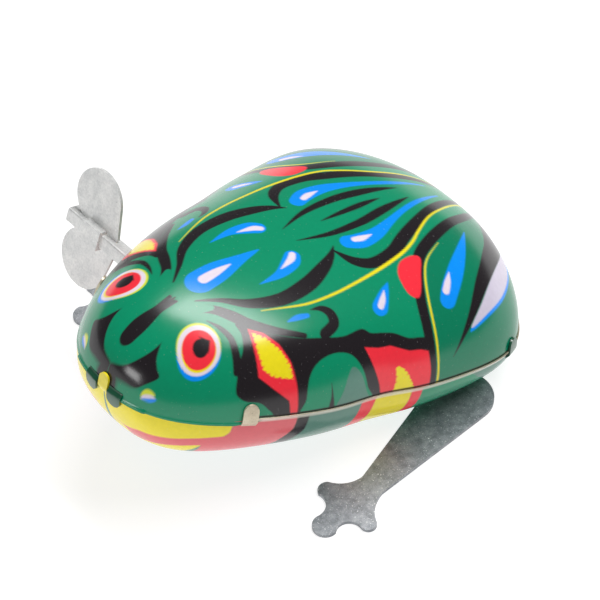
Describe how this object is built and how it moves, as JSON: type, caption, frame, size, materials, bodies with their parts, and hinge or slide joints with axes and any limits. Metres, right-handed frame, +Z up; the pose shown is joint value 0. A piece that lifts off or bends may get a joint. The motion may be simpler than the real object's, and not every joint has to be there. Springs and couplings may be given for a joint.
{
  "type": "wind-up jumping frog toy",
  "caption": "Clockwork tin frog: two printed tin shells, a butterfly winding key on the right side, and sprung steel hind legs that kick down from under the belly.",
  "frame": {"origin": "on the ground plane, on the frog's plane of symmetry, in the middle of the flat of the belly", "axes": "+Z up, the frog faces -Y, its left side is +X, and the winding key is on -X"},
  "size_m": [0.0678, 0.074, 0.0311],
  "materials": {
    "printed_tin_upper": "gloss lacquer over printed tin",
    "printed_tin_lower": "gloss lacquer over printed tin",
    "frame_steel": "bare sheet",
    "arbor_steel": "turned",
    "spring_steel": "blued",
    "zinc_plate": "mottled zinc plate",
    "wheel_steel": "stamped",
    "leg_steel": "dull, mottled"
  },
  "bodies": {
    "shell": {"upper_shell": "printed_tin_upper", "lower_shell": "printed_tin_lower", "motor_plate_left": "frame_steel", "motor_plate_right": "frame_steel", "motor_pillars": "frame_steel", "foot_rivets": "frame_steel", "leg_axle": "arbor_steel", "axle_clips": "arbor_steel", "mainspring": "spring_steel"},
    "winder": {"winding_arbor": "arbor_steel", "ratchet_wheel": "wheel_steel", "key_shaft": "zinc_plate", "key_wings": "zinc_plate"},
    "great": {"great_wheel": "wheel_steel", "click": "wheel_steel", "click_rivet": "arbor_steel", "click_spring": "spring_steel"},
    "mid": {"mid_arbor": "arbor_steel", "mid_pinion": "wheel_steel", "mid_wheel": "wheel_steel"},
    "kick": {"kick_arbor": "arbor_steel", "kick_pinion": "wheel_steel", "kick_cam": "wheel_steel"},
    "legs": {"leg_left": "leg_steel", "leg_right": "leg_steel", "leg_yoke": "leg_steel", "yoke_rivets": "arbor_steel", "return_spring": "spring_steel"}
  },
  "joints": [
    {"name": "key_wind", "type": "hinge", "parent": "shell", "child": "winder", "pos_m": [0, -0.032, 0.0195], "axis": [1, 0, 0], "continuous": true},
    {"name": "great_spin", "type": "hinge", "parent": "shell", "child": "great", "pos_m": [0, -0.032, 0.0195], "axis": [1, 0, 0], "continuous": true},
    {"name": "mid_spin", "type": "hinge", "parent": "shell", "child": "mid", "pos_m": [0, -0.02213, 0.01591], "axis": [1, 0, 0], "continuous": true},
    {"name": "kick_spin", "type": "hinge", "parent": "shell", "child": "kick", "pos_m": [0, -0.01376, 0.01443], "axis": [1, 0, 0], "continuous": true},
    {"name": "leg_kick", "type": "hinge", "parent": "shell", "child": "legs", "pos_m": [0, 0.0044, 0.0046], "axis": [1, 0, 0], "range_deg": [0, 22], "stiffness_Nm_per_rad": 0.004, "springref_deg": -20.05}
  ],
  "couplings": [
    {"joint": "mid_spin", "follows": "great_spin", "ratio": -3.2},
    {"joint": "kick_spin", "follows": "great_spin", "ratio": 7.68}
  ]
}
